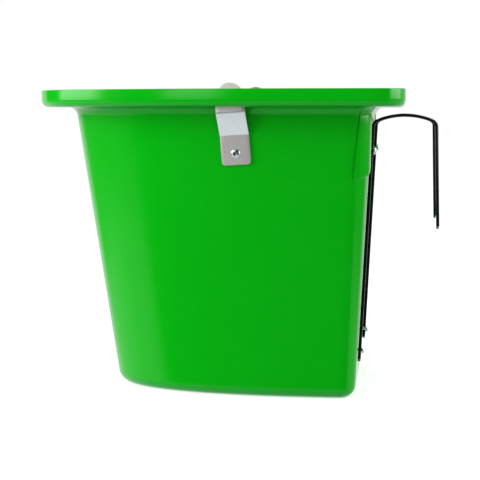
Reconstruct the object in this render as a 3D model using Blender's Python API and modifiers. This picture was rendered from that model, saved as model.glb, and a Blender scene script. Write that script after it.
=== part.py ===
# Hook-over feed bucket: a moulded D-plan bowl with a rolled-out ledge and
# up-turned lip, two sheet-steel handle ears riveted to the side walls and
# passing up through slots in the ledge, a wire bail handle with a grip lying
# in the ledge tray, and two bent wire hooks held to the flat back wall under the heads of four
# screws.
#
# Frame: metres, origin at the centre of the base underside, +Z up,
# -X the rounded front, +X the flat back that carries the hooks,
# -Y the left side, +Y the right side.
import bpy
import bmesh
import math
from mathutils import Vector, Matrix

MM = 0.001

# ------------------------------------------------------------ bowl
BOWL_FRONT_X0 = -111.2          # front wall at the base plane
BOWL_FRONT_LEAN = -0.158        # dX per mm of height
BOWL_BACK_X0 = 113.4
BOWL_BACK_LEAN = 0.0532
BOWL_HALF_W0 = 98.0
BOWL_HALF_W_LEAN = 19.0 / 257.5
BACK_CORNER_R0 = 15.0
BACK_CORNER_GROW = 5.0 / 257.5
PLAN_EXPONENT = 2.3             # fullness of the rounded front
BASE_EDGE_R = 10.5
WALL_T = 2.8
LEDGE_UNDER_Z = 257.5
LEDGE_FILLET_R = 9.0
LIP_TOP_Z = 273.0
LIP_CORNER_R = 6.5
LIP_FRONT_X = -184.0
LIP_BACK_X = 156.4
LIP_HALF_W = 147.0
LIP_BACK_CORNER_R = 26.0
# raised pads on the two back corners
PAD_LOW_Z = 193.0               # lower edge at the crease
PAD_EDGE_RISE = 4.5             # its rise to the corner, and again to the back
PAD_INNER_Y = 88.0
PAD_PROUD_LOW = 2.5
PAD_PROUD_TOP = 0.6
PAD_START_DEG = 22.0
PAD_START_TURN = 12.0           # the crease moves round the corner this much by the top
# ------------------------------------------------------------ ears
EAR_W = 26.0
EAR_T = 1.5
GAP = 0.3
EAR_RIVET_X = 9.9
EAR_RIVET_Z = 217.3
EAR_BELOW_RIVET = 10.2
EAR_BEND_Z1 = 233.3
EAR_BEND_Z2 = 253.0
EAR_OUT_ANGLE = 26.0            # middle facet from vertical
EAR_ARC_Z = 265.4
EAR_TILT_DEG = 3.5
EAR_CORNER_R = 3.0
EAR_BEND_R = 3.0
PIVOT_Z = 266.6
PIVOT_HOLE_D = 6.2
SLOT_W = 28.0
SLOT_T = 3.0
RIVET_HOLE_D = 4.6
# ------------------------------------------------------------ bail
BAIL_WIRE_D = 5.0
BAIL_ARM_Y = 129.5
BAIL_FRONT_X = -172.5
BAIL_END_Y = 117.7
BAIL_BEND_R = 4.2
BAIL_PLAN_XM = 118.0
GRIP_D = 12.0
GRIP_HALF_LEN = 50.0
# ------------------------------------------------------------ hooks
HOOK_Y = 75.0
HOOK_WIRE_D = 3.0
HOOK_FOOT_Z = 31.0
HOOK_STAND = 1.8                # wire axis off the back wall
HOOK_TOP_Z = 250.2
HOOK_OUT_X_TOP = 183.7
HOOK_OUT_X_TIP = 185.5
HOOK_TIP_Z = 150.0
HOOK_BEND_R = 6.0
UPPER_SCREW_Z = 219.0
LOWER_SCREW_Z = 41.0
SCREW_Y = 71.5                  # just inboard of the wires
HEAD_IN = 3.6                   # underside of the heads off the wall
SCREW_D = 3.3
SCREW_HOLE_D = 3.9
SCREW_HEAD_D = 7.0
SCREW_HEAD_H = 2.4
WASHER_D = 10.0
WASHER_T = 1.0
NUT_AF = 6.0
NUT_H = 2.8
SCREW_END = -8.8
SEG = 24

NAME = "feed_bucket"

# ------------------------------------------------------------ scene
for ob in list(bpy.data.objects):
    bpy.data.objects.remove(ob, do_unlink=True)
main = bpy.data.collections.new(NAME)
bpy.context.scene.collection.children.link(main)
helpers = bpy.data.collections.new(NAME + "_cutters")
bpy.context.scene.collection.children.link(helpers)


def material(name, colour, rough, metal):
    m = bpy.data.materials.new(name)
    m.use_nodes = True
    p = m.node_tree.nodes["Principled BSDF"]
    p.inputs["Base Color"].default_value = (colour[0], colour[1], colour[2], 1.0)
    p.inputs["Roughness"].default_value = rough
    p.inputs["Metallic"].default_value = metal
    m.diffuse_color = (colour[0], colour[1], colour[2], 1.0)
    return m


def smooth(me, deg=32.0):
    me.shade_smooth()
    me.set_sharp_from_angle(angle=math.radians(deg))


def make(name, verts, faces, mat=None, helper=False, round_piece=True):
    me = bpy.data.meshes.new(name)
    me.from_pydata([tuple(v) for v in verts], [], faces)
    me.validate()
    me.update()
    ob = bpy.data.objects.new(name, me)
    if helper:
        helpers.objects.link(ob)
        ob.hide_render = True
        ob.display_type = 'WIRE'
    else:
        main.objects.link(ob)
        me.materials.append(mat)
        if round_piece:
            smooth(me)
    return ob


def boolean(ob, other, op):
    m = ob.modifiers.new(op.lower(), 'BOOLEAN')
    m.operation = op
    m.solver = 'EXACT'
    m.object = other
    return m


# ------------------------------------------------------------ plan shape
def wall_params(z):
    """front x, back x, half width, back corner radius of the outer wall"""
    return (BOWL_FRONT_X0 + BOWL_FRONT_LEAN * z,
            BOWL_BACK_X0 + BOWL_BACK_LEAN * z,
            BOWL_HALF_W0 + BOWL_HALF_W_LEAN * z,
            BACK_CORNER_R0 + BACK_CORNER_GROW * z)


def grow(p, d):
    return (p[0] - d, p[1] + d, p[2] + d, p[3] + d)


def plan_t(count):
    """parameter values giving even spacing on the wall outline at mid height"""
    xf, xb, hw, rc = wall_params(130.0)
    xm = xb - rc
    a = xm - xf
    e = 2.0 / PLAN_EXPONENT
    fine = [i / 4000.0 * math.pi / 2 for i in range(4001)]
    pts = [(xm - a * math.cos(t) ** e if t < math.pi / 2 - 1e-12 else xm,
            hw * math.sin(t) ** e) for t in fine]
    s = [0.0]
    for i in range(1, len(pts)):
        s.append(s[-1] + math.dist(pts[i], pts[i - 1]))
    out = []
    j = 0
    for k in range(count + 1):
        want = s[-1] * k / count
        while j < len(s) - 1 and s[j] < want:
            j += 1
        out.append(fine[j])
    out[0] = 0.0
    out[-1] = math.pi / 2
    return out


def half_outline(p, ts, corner_n, flat_n):
    xf, xb, hw, rc = p
    xm = xb - rc
    a = xm - xf
    e = 2.0 / PLAN_EXPONENT
    out = []
    for t in ts:
        c = max(0.0, math.cos(t)) if t < math.pi / 2 - 1e-9 else 0.0
        out.append((xm - a * c ** e, hw * math.sin(t) ** e))
    for k in range(1, corner_n + 1):
        f = k / corner_n * math.pi / 2
        out.append((xm + rc * math.sin(f), hw - rc + rc * math.cos(f)))
    y0 = hw - rc
    for k in range(1, flat_n + 1):
        out.append((xb, y0 * (1 - k / flat_n)))
    return out


def ring(p, z, ts, corner_n, flat_n):
    h = half_outline(p, ts, corner_n, flat_n)
    full = [(x, y) for x, y in h]
    full += [(x, -y) for x, y in reversed(h[1:-1])]
    return [Vector((x * MM, y * MM, z * MM)) for x, y in full]


def plan_y(p, x):
    xf, xb, hw, rc = p
    xm = xb - rc
    a = xm - xf
    n = PLAN_EXPONENT
    u = min(1.0, max(0.0, (xm - x) / a))
    return hw * (1 - u ** n) ** (1 / n)


def lip_params(d):
    return (LIP_FRONT_X - d, LIP_BACK_X + d, LIP_HALF_W + d,
            LIP_BACK_CORNER_R + d)


# ------------------------------------------------------------ bowl surface
def bowl_rings(ts, corner_n, flat_n, n_base, n_fil, n_lip):
    rows = []
    for k in range(n_base + 1):
        f = k / n_base * math.pi / 2
        z = BASE_EDGE_R * (1 - math.cos(f))
        rows.append((grow(wall_params(z), -BASE_EDGE_R * (1 - math.sin(f))), z))
    zf = LEDGE_UNDER_Z - LEDGE_FILLET_R
    base = wall_params(zf)
    for k in range(n_fil + 1):
        f = k / n_fil * math.pi / 2
        rows.append((grow(base, LEDGE_FILLET_R * (1 - math.cos(f))),
                     zf + LEDGE_FILLET_R * math.sin(f)))
    for k in range(n_lip + 1):
        f = k / n_lip * math.pi / 2
        rows.append((lip_params(-LIP_CORNER_R * (1 - math.sin(f))),
                     LEDGE_UNDER_Z + LIP_CORNER_R * (1 - math.cos(f))))
    rows.append((lip_params(0.0), LIP_TOP_Z))
    return [ring(p, z, ts, corner_n, flat_n) for p, z in rows]


def loft(rings, cap_first=True):
    verts = [v for r in rings for v in r]
    n = len(rings[0])
    faces = []
    for i in range(len(rings) - 1):
        for j in range(n):
            a = i * n + j
            b = i * n + (j + 1) % n
            faces.append((a, a + n, b + n, b))
    if cap_first:
        faces.append(tuple(range(n)))
    return verts, faces


TS = plan_t(18)
rings = bowl_rings(TS, 5, 2, 3, 4, 3)
verts, faces = loft(rings)
green = material("green_polyethylene", (0.0, 0.36, 0.015), 0.3, 0.0)
body = make("bucket_body", verts, faces, green)
sol = body.modifiers.new("wall", 'SOLIDIFY')
sol.thickness = WALL_T * MM
sol.offset = -1.0
sol.use_even_offset = True


# ------------------------------------------------------------ back wall frame
BACK_A = math.atan(BOWL_BACK_LEAN)
BACK_N = Vector((math.cos(BACK_A), 0.0, -math.sin(BACK_A)))
BACK_U = Vector((math.sin(BACK_A), 0.0, math.cos(BACK_A)))
BACK_O = Vector((BOWL_BACK_X0 * MM, 0.0, 0.0))


def back_pt(z, y, d):
    """point at height z on the back wall, moved d mm out along its normal"""
    s = z / math.cos(BACK_A)
    return BACK_O + BACK_U * (s * MM) + BACK_N * (d * MM) + Vector((0, y * MM, 0))


def frame_matrix(origin, xa, ya, za):
    m = Matrix.Identity(4)
    for i, a in enumerate((xa, ya, za)):
        m.col[i] = Vector((a[0], a[1], a[2], 0.0))
    m.col[3] = Vector((origin[0], origin[1], origin[2], 1.0))
    return m


def back_frame(z, y):
    """local +Z out of the wall, local +X along Y, local +Y up the wall"""
    ya = BACK_U
    za = BACK_N
    xa = ya.cross(za)
    return frame_matrix(back_pt(z, y, 0.0), xa, ya, za)


def axis_frame(origin, axis):
    za = axis.normalized()
    ref = Vector((0, 0, 1)) if abs(za.z) < 0.9 else Vector((1, 0, 0))
    xa = ref.cross(za).normalized()
    ya = za.cross(xa)
    return frame_matrix(origin, xa, ya, za)


def cyl_data(m, r, z0, z1, seg=SEG):
    bm = bmesh.new()
    bmesh.ops.create_cone(bm, cap_ends=True, cap_tris=False, segments=seg,
                          radius1=r * MM, radius2=r * MM,
                          depth=(z1 - z0) * MM)
    bmesh.ops.translate(bm, vec=Vector((0, 0, (z0 + z1) / 2 * MM)), verts=bm.verts)
    bmesh.ops.transform(bm, matrix=m, verts=bm.verts)
    vs = [v.co.copy() for v in bm.verts]
    fs = [tuple(v.index for v in f.verts) for f in bm.faces]
    bm.free()
    return vs, fs


def box_data(m, lo, hi):
    vs = []
    for z in (lo[2], hi[2]):
        for x, y in ((lo[0], lo[1]), (hi[0], lo[1]), (hi[0], hi[1]), (lo[0], hi[1])):
            vs.append(m @ Vector((x * MM, y * MM, z * MM)))
    fs = [(3, 2, 1, 0), (4, 5, 6, 7), (0, 1, 5, 4), (1, 2, 6, 5), (2, 3, 7, 6), (3, 0, 4, 7)]
    return vs, fs


def join_data(parts):
    vs, fs = [], []
    for v, f in parts:
        o = len(vs)
        vs += v
        fs += [tuple(i + o for i in q) for q in f]
    return vs, fs


# ------------------------------------------------------------ ear geometry
def unit(v):
    return v.normalized()


def ear_frame(side):
    """origin on the wall at the rivet; T across, V up along the strap, N out"""
    def pt(x, z):
        return Vector((x, side * plan_y(wall_params(z), x), z))
    h = 0.5
    p0 = pt(EAR_RIVET_X, EAR_RIVET_Z)
    tx = unit(pt(EAR_RIVET_X + h, EAR_RIVET_Z) - pt(EAR_RIVET_X - h, EAR_RIVET_Z))
    tz = pt(EAR_RIVET_X, EAR_RIVET_Z + h) - pt(EAR_RIVET_X, EAR_RIVET_Z - h)
    n = unit(tx.cross(tz))
    if n.y * side < 0:
        n = -n
    v = unit(tz - tx * tz.dot(tx))
    a = math.radians(EAR_TILT_DEG)
    vv = unit(v * math.cos(a) - tx * math.sin(a))
    tt = unit(tx * math.cos(a) + v * math.sin(a))
    return p0, tt, vv, n


def fillet_path(pts, r, seg):
    out = [pts[0]]
    for i in range(1, len(pts) - 1):
        p, q, s = Vector(pts[i - 1]), Vector(pts[i]), Vector(pts[i + 1])
        d1 = (p - q).normalized()
        d2 = (s - q).normalized()
        ang = d1.angle(d2)
        off = r / math.tan(ang / 2)
        c = q + (d1 + d2).normalized() * (r / math.sin(ang / 2))
        a = q + d1 * off - c
        b = q + d2 * off - c
        w = a.angle(b)
        for k in range(seg + 1):
            f = k / seg
            out.append(tuple(c + (a * math.sin((1 - f) * w) + b * math.sin(f * w)) / math.sin(w)))
    out.append(pts[-1])
    return out


def ear_profile():
    """strap inner-face path as (n, v) from the rivet point"""
    wall_lean = math.atan(BOWL_HALF_W_LEAN)
    a2 = math.radians(EAR_OUT_ANGLE) - wall_lean
    v1 = (EAR_BEND_Z1 - EAR_RIVET_Z) / math.cos(wall_lean)
    l2 = (EAR_BEND_Z2 - EAR_BEND_Z1) / math.cos(math.radians(EAR_OUT_ANGLE))
    l3 = EAR_ARC_Z - EAR_BEND_Z2
    p0 = (GAP, -EAR_BELOW_RIVET, 0.0)
    p1 = (GAP, v1, 0.0)
    p2 = (p1[0] + l2 * math.sin(a2), p1[1] + l2 * math.cos(a2), 0.0)
    d3 = (-math.sin(wall_lean), math.cos(wall_lean))
    p3 = (p2[0] + l3 * d3[0], p2[1] + l3 * d3[1], 0.0)
    return p0, p1, p2, p3, d3


def ear_point(fr, w, n, v):
    p0, t, vv, nn = fr
    return (p0 + t * w + nn * n + vv * v) * MM


def ear_surface(side, bend_seg, arc_seg, corner_seg):
    fr = ear_frame(side)
    p0, p1, p2, p3, d3 = ear_profile()
    path = fillet_path([p0, p1, p2, p3], EAR_BEND_R, bend_seg)
    hw = EAR_W / 2
    rows = path[1:-1]
    vs, fs = [], []
    # lower facet outline, from its upper edge down around and back up
    low = []
    for k in range(corner_seg + 1):
        f = k / corner_seg * math.pi / 2
        low.append((-hw + EAR_CORNER_R * (1 - math.cos(f)),
                    p0[1] + EAR_CORNER_R * (1 - math.sin(f))))
    low += [(-w, v) for w, v in reversed(low)]
    ids_low = []
    for w, v in low:
        ids_low.append(len(vs))
        vs.append(ear_point(fr, w, p0[0], v))
    row_ids = []
    for n, v, _ in rows:
        row_ids.append((len(vs), len(vs) + 1))
        vs.append(ear_point(fr, -hw, n, v))
        vs.append(ear_point(fr, hw, n, v))
    fs.append(tuple([row_ids[0][0]] + ids_low + [row_ids[0][1]]))
    for i in range(len(rows) - 1):
        a, b = row_ids[i]
        c, d = row_ids[i + 1]
        fs.append((a, b, d, c))
    top = []
    for k in range(arc_seg + 1):
        f = k / arc_seg * math.pi
        w = hw * math.cos(f)
        l = hw * math.sin(f)
        top.append(len(vs))
        vs.append(ear_point(fr, w, p3[0] + l * d3[0], p3[1] + l * d3[1]))
    fs.append(tuple([row_ids[-1][0], row_ids[-1][1]] + top))
    if side > 0:
        fs = [tuple(reversed(f)) for f in fs]
    return vs, fs


def ear_pivot(side):
    """centre of the ear hole at mid thickness, with the local axes there"""
    fr = ear_frame(side)
    p0, t, vv, nn = fr
    _, _, p2, p3, d3 = ear_profile()
    n3 = nn * d3[1] - vv * d3[0]
    v3 = nn * d3[0] + vv * d3[1]
    base = p0 + nn * p3[0] + vv * p3[1]
    l = (PIVOT_Z - (base + n3 * (EAR_T / 2)).z) / v3.z
    c = base + v3 * l + n3 * (EAR_T / 2)
    return c, t, v3, n3


PIV, PT, PV, PN = ear_pivot(-1)
PIVOT_X = PIV.x

steel = material("stainless_steel", (0.55, 0.55, 0.56), 0.32, 1.0)
for side, word in ((-1, "left"), (1, "right")):
    vs, fs = ear_surface(side, 3, 16, 3)
    ear = make(word + "_ear_strap", vs, fs, steel if side < 0 else
               material("stainless_steel_r", (0.55, 0.55, 0.56), 0.32, 1.0))
    so = ear.modifiers.new("sheet", 'SOLIDIFY')
    so.thickness = EAR_T * MM
    so.offset = 1.0
    so.use_even_offset = True
    p0, t, vv, nn = ear_frame(side)
    c, pt_, pv_, pn_ = ear_pivot(side)
    cut = join_data([
        cyl_data(axis_frame(p0 * MM, nn), RIVET_HOLE_D / 2, -2, 6),
        cyl_data(axis_frame(c * MM, pn_), PIVOT_HOLE_D / 2, -4, 4)])
    boolean(ear, make("cut_" + word + "_ear", cut[0], cut[1], helper=True), 'DIFFERENCE')

# ------------------------------------------------------------ body features
def pad_edge(f):
    """height of the pad's lower edge, f = 0 at the crease, 1 at the back"""
    rise = PAD_EDGE_RISE * min(1.0, f / 0.7)
    if f > 0.7:
        rise += PAD_EDGE_RISE * ((f - 0.7) / 0.3) ** 2
    return PAD_LOW_Z + rise


def pad_data(side, n_arc, zs):
    """raised corner pad: outer skin proud of the wall, inner skin inside it;
    the first row follows the sloping lower edge"""
    outer_rows, inner_rows = [], []
    for z in (None,) + zs:
        out, inn = [], []
        for i in range(n_arc + 2):
            f = min(1.0, i / n_arc)
            zi = pad_edge(f) if z is None else z
            a0 = math.radians(PAD_START_DEG + PAD_START_TURN * (zi - PAD_LOW_Z) / 60.0)
            xf, xb, hw, rc = wall_params(min(zi, LEDGE_UNDER_Z - LEDGE_FILLET_R))
            xm = xb - rc
            k_z = (min(zi, 252.0) - PAD_LOW_Z) / (252.0 - PAD_LOW_Z)
            proud = PAD_PROUD_LOW + (PAD_PROUD_TOP - PAD_PROUD_LOW) * k_z
            if i > n_arc:
                o, n = (xb + proud, PAD_INNER_Y), (xb - 1.2, PAD_INNER_Y)
            else:
                a = a0 + (math.pi / 2 - a0) * f
                d = 0.25 + (proud - 0.25) * min(1.0, f / 0.7)
                ca, sa = math.cos(a), math.sin(a)
                o = (xm + (rc + d) * sa, hw - rc + (rc + d) * ca)
                n = (xm + (rc - 1.2) * sa, hw - rc + (rc - 1.2) * ca)
            out.append(Vector((o[0] * MM, side * o[1] * MM, zi * MM)))
            inn.append(Vector((n[0] * MM, side * n[1] * MM, zi * MM)))
        outer_rows.append(out)
        inner_rows.append(inn)
    m = len(outer_rows[0])
    loops = [o + list(reversed(i)) for o, i in zip(outer_rows, inner_rows)]
    n = 2 * m
    vs = [v for l in loops for v in l]
    fs = []
    for r in range(len(loops) - 1):
        for j in range(n):
            a = r * n + j
            b = r * n + (j + 1) % n
            fs.append((a, b, b + n, a + n))
    fs += [(i + 1, i, n - 1 - i, n - 2 - i) for i in range(m - 1)]
    fs.append(tuple((len(loops) - 1) * n + j for j in range(n)))
    if side > 0:
        fs = [tuple(reversed(f)) for f in fs]
    return vs, fs


pads = join_data([pad_data(s, 6, (248.5, 252.6)) for s in (-1, 1)])
boolean(body, make("add_pads", pads[0], pads[1], helper=True), 'UNION')

cutters = []
for sy in (-1, 1):
    cutters.append(cyl_data(back_frame(UPPER_SCREW_Z, sy * SCREW_Y), SCREW_HOLE_D / 2, -8, 8))
    cutters.append(cyl_data(back_frame(LOWER_SCREW_Z, sy * SCREW_Y), SCREW_HOLE_D / 2, -8, 8))
    p0, t, vv, nn = ear_frame(sy)
    cutters.append(cyl_data(axis_frame(p0 * MM, nn), RIVET_HOLE_D / 2, -8, 4))
    c, t3, v3, n3 = ear_pivot(sy)
    base = c + v3 * ((258.9 - c.z) / v3.z)
    cutters.append(box_data(frame_matrix(base * MM, t3, n3, v3 if sy > 0 else v3),
                            (-SLOT_W / 2, -SLOT_T / 2, -6.0), (SLOT_W / 2, SLOT_T / 2, 6.0)))
cd = join_data(cutters)
cut_ob = make("cut_body", cd[0], cd[1], helper=True)
bm = bmesh.new()
bm.from_mesh(cut_ob.data)
bmesh.ops.recalc_face_normals(bm, faces=bm.faces)
bm.to_mesh(cut_ob.data)
bm.free()
boolean(body, cut_ob, 'DIFFERENCE')


# ------------------------------------------------------------ turned pieces
def turned(name, profile, matrix, mat, steps=SEG):
    """profile: closed or axis-to-axis list of (radius, height) in mm,
    running down the outer side from top to bottom"""
    closed = profile[0] == profile[-1]
    pts = profile[:-1] if closed else profile
    me = bpy.data.meshes.new(name)
    vs = [(r * MM, 0.0, z * MM) for r, z in pts]
    es = [(i, i + 1) for i in range(len(pts) - 1)]
    if closed:
        es.append((len(pts) - 1, 0))
    me.from_pydata(vs, es, [])
    me.materials.append(mat)
    ob = bpy.data.objects.new(name, me)
    main.objects.link(ob)
    ob.matrix_world = matrix
    s = ob.modifiers.new("turn", 'SCREW')
    s.axis = 'Z'
    s.angle = 2 * math.pi
    s.screw_offset = 0.0
    s.steps = steps
    s.render_steps = steps
    s.use_merge_vertices = True
    s.merge_threshold = 0.00001
    s.use_smooth_shade = True
    s.use_normal_calculate = False
    s.use_normal_flip = False
    return ob


def washer_profile(ro, ri, z1, z0):
    return [(ro, z1), (ro, z0), (ri, z0), (ri, z1), (ro, z1)]


# ear rivets: dome head outside, hollow shank, set bulb inside, and the
# mandrel broken off below the dome
DOME_Z = GAP + EAR_T + GAP
R_IN = -WALL_T - GAP - WASHER_T - GAP
for side, word in ((-1, "left"), (1, "right")):
    p0, t, vv, nn = ear_frame(side)
    m = axis_frame(p0 * MM, nn)
    alu = material("aluminium_" + word, (0.66, 0.67, 0.68), 0.3, 1.0)
    dome = [(1.3, DOME_Z + 1.6), (2.3, DOME_Z + 1.45), (3.2, DOME_Z + 1.0),
            (3.8, DOME_Z + 0.45), (4.0, DOME_Z)]
    prof = dome + [(2.0, DOME_Z), (2.0, R_IN), (2.9, R_IN - 0.3), (3.2, R_IN - 1.5),
                   (2.7, R_IN - 2.7), (2.0, R_IN - 3.0), (1.3, R_IN - 3.0), dome[0]]
    turned(word + "_strap_rivet", prof, m, alu, 20)
    pin = material("plated_steel_pin_" + word, (0.35, 0.35, 0.36), 0.35, 1.0)
    turned(word + "_rivet_mandrel",
           [(0.0, DOME_Z + 0.5), (1.0, DOME_Z + 0.5), (1.0, R_IN - 3.3),
            (1.9, R_IN - 3.3), (1.9, R_IN - 4.6), (1.2, R_IN - 5.3), (0.0, R_IN - 5.3)],
           m, pin, 16)
    turned(word + "_rivet_washer",
           washer_profile(5.0, RIVET_HOLE_D / 2, -WALL_T - GAP, -WALL_T - GAP - WASHER_T),
           m, material("washer_steel_" + word, (0.5, 0.5, 0.51), 0.35, 1.0), 20)


# ------------------------------------------------------------ bail handle
def fillet_polyline(pts, radii, seg):
    out = [Vector(pts[0])]
    for i in range(1, len(pts) - 1):
        r = radii[i - 1]
        p, q, s = Vector(pts[i - 1]), Vector(pts[i]), Vector(pts[i + 1])
        d1 = (p - q).normalized()
        d2 = (s - q).normalized()
        ang = d1.angle(d2)
        if r <= 0 or abs(ang - math.pi) < 1e-3:
            out.append(q)
            continue
        off = r / math.tan(ang / 2)
        c = q + (d1 + d2).normalized() * (r / math.sin(ang / 2))
        a = q + d1 * off - c
        b = q + d2 * off - c
        w = a.angle(b)
        for k in range(seg + 1):
            f = k / seg
            out.append(c + (a * math.sin((1 - f) * w) + b * math.sin(f * w)) / math.sin(w))
    out.append(Vector(pts[-1]))
    return out


def bail_plan(x):
    """half width of the bail centreline at x, scaled to meet the arm"""
    a = BAIL_PLAN_XM - BAIL_FRONT_X
    n = PLAN_EXPONENT
    def f(q):
        u = min(1.0, max(0.0, (BAIL_PLAN_XM - q) / a))
        return (1 - u ** n) ** (1 / n)
    return BAIL_ARM_Y * f(x) / f(PIVOT_X)


def bail_half(count):
    """points from the front centre (y=0) back to the arm end, +Y side"""
    a = BAIL_PLAN_XM - BAIL_FRONT_X
    n = PLAN_EXPONENT
    u0 = (BAIL_PLAN_XM - PIVOT_X) / a
    k = BAIL_ARM_Y / (1 - u0 ** n) ** (1 / n)
    t_end = math.acos(u0 ** (n / 2))
    fine = [t_end * i / 3000.0 for i in range(3001)]
    pts = [(BAIL_PLAN_XM - a * math.cos(t) ** (2 / n), k * math.sin(t) ** (2 / n)) for t in fine]
    s = [0.0]
    for i in range(1, len(pts)):
        s.append(s[-1] + math.dist(pts[i], pts[i - 1]))
    out, j = [], 0
    for q in range(count + 1):
        want = s[-1] * q / count
        while j < len(s) - 1 and s[j] < want:
            j += 1
        out.append(pts[j])
    out[0] = (BAIL_FRONT_X, 0.0)
    return out


def bail_path(count, bend_seg):
    """centreline in the bail's own frame (origin on the hinge line)"""
    half = bail_half(count)
    arm = half[:-1]
    last = Vector((arm[-1][0], arm[-1][1], 0))
    end = [last, Vector((half[-1][0], half[-1][1], 0)),
           Vector((half[-1][0], BAIL_END_Y, 0))]
    tail = fillet_polyline(end, [BAIL_BEND_R], bend_seg)[1:]
    right = [Vector((x, y, 0)) for x, y in arm] + tail
    left = [Vector((p.x, -p.y, 0)) for p in reversed(right[1:])]
    pts = left + right
    return [Vector(((p.x - PIVOT_X) * MM, p.y * MM, 0.0)) for p in pts]


def wire_obj(name, pts, radius, mat, res, origin=(0, 0, 0)):
    cu = bpy.data.curves.new(name, 'CURVE')
    cu.dimensions = '3D'
    sp = cu.splines.new('POLY')
    sp.points.add(len(pts) - 1)
    for p, q in zip(sp.points, pts):
        p.co = (q[0], q[1], q[2], 1.0)
    cu.bevel_depth = radius * MM
    cu.bevel_resolution = res
    cu.use_fill_caps = True
    cu.materials.append(mat)
    ob = bpy.data.objects.new(name, cu)
    main.objects.link(ob)
    ob.location = origin
    return ob


bail = wire_obj("bail_wire", bail_path(22, 4), BAIL_WIRE_D / 2,
                material("bright_steel_wire", (0.6, 0.6, 0.61), 0.3, 1.0), 3,
                (PIVOT_X * MM, 0, PIVOT_Z * MM))


def tube_data(path, ro, ri, seg, chamfer):
    """hollow tube swept along a path lying in the XY plane"""
    vs, fs = [], []
    n = len(path)
    def tangent(i):
        a = path[max(0, i - 1)]
        b = path[min(n - 1, i + 1)]
        return (b - a).normalized()
    def ring_at(p, t, r):
        side = Vector((-t.y, t.x, 0)).normalized()
        up = Vector((0, 0, 1))
        return [p + (side * math.cos(k / seg * 2 * math.pi) +
                     up * math.sin(k / seg * 2 * math.pi)) * (r * MM) for k in range(seg)]
    rows = []
    t0, t1 = tangent(0), tangent(n - 1)
    rows.append(ring_at(path[0], t0, ri))
    rows.append(ring_at(path[0], t0, ro - chamfer))
    rows.append(ring_at(path[0] + t0 * (chamfer * MM), t0, ro))
    for i in range(1, n - 1):
        rows.append(ring_at(path[i], tangent(i), ro))
    rows.append(ring_at(path[-1] - t1 * (chamfer * MM), t1, ro))
    rows.append(ring_at(path[-1], t1, ro - chamfer))
    rows.append(ring_at(path[-1], t1, ri))
    for i in range(n - 2, 0, -1):
        rows.append(ring_at(path[i], tangent(i), ri))
    for r in rows:
        vs += r
    m = len(rows)
    for i in range(m):
        for j in range(seg):
            a = i * seg + j
            b = i * seg + (j + 1) % seg
            c = ((i + 1) % m) * seg + (j + 1) % seg
            d = ((i + 1) % m) * seg + j
            fs.append((a, b, c, d))
    return vs, fs


def grip_path(count):
    """grip centreline: the bail centreline between +-GRIP_HALF_LEN in Y"""
    a = BAIL_PLAN_XM - BAIL_FRONT_X
    n = PLAN_EXPONENT
    u0 = (BAIL_PLAN_XM - PIVOT_X) / a
    k = BAIL_ARM_Y / (1 - u0 ** n) ** (1 / n)
    out = []
    for i in range(count + 1):
        y = -GRIP_HALF_LEN + 2 * GRIP_HALF_LEN * i / count
        u = (1 - (abs(y) / k) ** n) ** (1 / n)
        out.append(Vector(((BAIL_PLAN_XM - a * u - PIVOT_X) * MM, y * MM, 0.0)))
    return out


vs, fs = tube_data(grip_path(16), GRIP_D / 2, BAIL_WIRE_D / 2 + 0.35, 18, 1.0)
grip = make("handle_grip", vs, fs, material("black_grip_plastic", (0.02, 0.02, 0.02), 0.45, 0.0))
grip.location = (PIVOT_X * MM, 0, PIVOT_Z * MM)
bm = bmesh.new()
bm.from_mesh(grip.data)
bmesh.ops.recalc_face_normals(bm, faces=bm.faces)
bm.to_mesh(grip.data)
bm.free()


# ------------------------------------------------------------ hooks
def hook_leg_x(z):
    return BOWL_BACK_X0 + BOWL_BACK_LEAN * z + HOOK_STAND / math.cos(BACK_A)


def hook_path(y, bend_seg, arc_seg):
    """inner leg up the wall, shallow arch over the door, outer leg down"""
    zc = HOOK_TOP_Z - 6.4
    ax, bx = hook_leg_x(zc), HOOK_OUT_X_TOP
    half = (bx - ax) / 2
    cx = (ax + bx) / 2
    sag = HOOK_TOP_Z - zc
    rad = (half * half + sag * sag) / (2 * sag)
    cz = HOOK_TOP_Z - rad
    w = math.asin(half / rad)
    arc = []
    for k in range(arc_seg + 1):
        f = -w + 2 * w * k / arc_seg
        arc.append(Vector((cx + rad * math.sin(f), y, cz + rad * math.cos(f))))
    pts = [Vector((hook_leg_x(HOOK_FOOT_Z), y, HOOK_FOOT_Z)), arc[0]]
    body_pts = arc[1:-1]
    first = fillet_polyline([pts[0], arc[0], arc[1]], [HOOK_BEND_R], bend_seg)
    last = fillet_polyline([arc[-2], arc[-1], Vector((HOOK_OUT_X_TIP, y, HOOK_TIP_Z))],
                           [HOOK_BEND_R], bend_seg)
    mid = body_pts[1:-1] if len(body_pts) > 2 else body_pts
    out = first[:-1] + mid + last[1:]
    return [p * MM for p in out]


for side, word in ((-1, "left"), (1, "right")):
    wire_obj(word + "_hook_wire", hook_path(side * HOOK_Y, 5, 8), HOOK_WIRE_D / 2,
             material("black_coated_steel_" + word, (0.015, 0.015, 0.016), 0.3, 0.0), 3)


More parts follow.
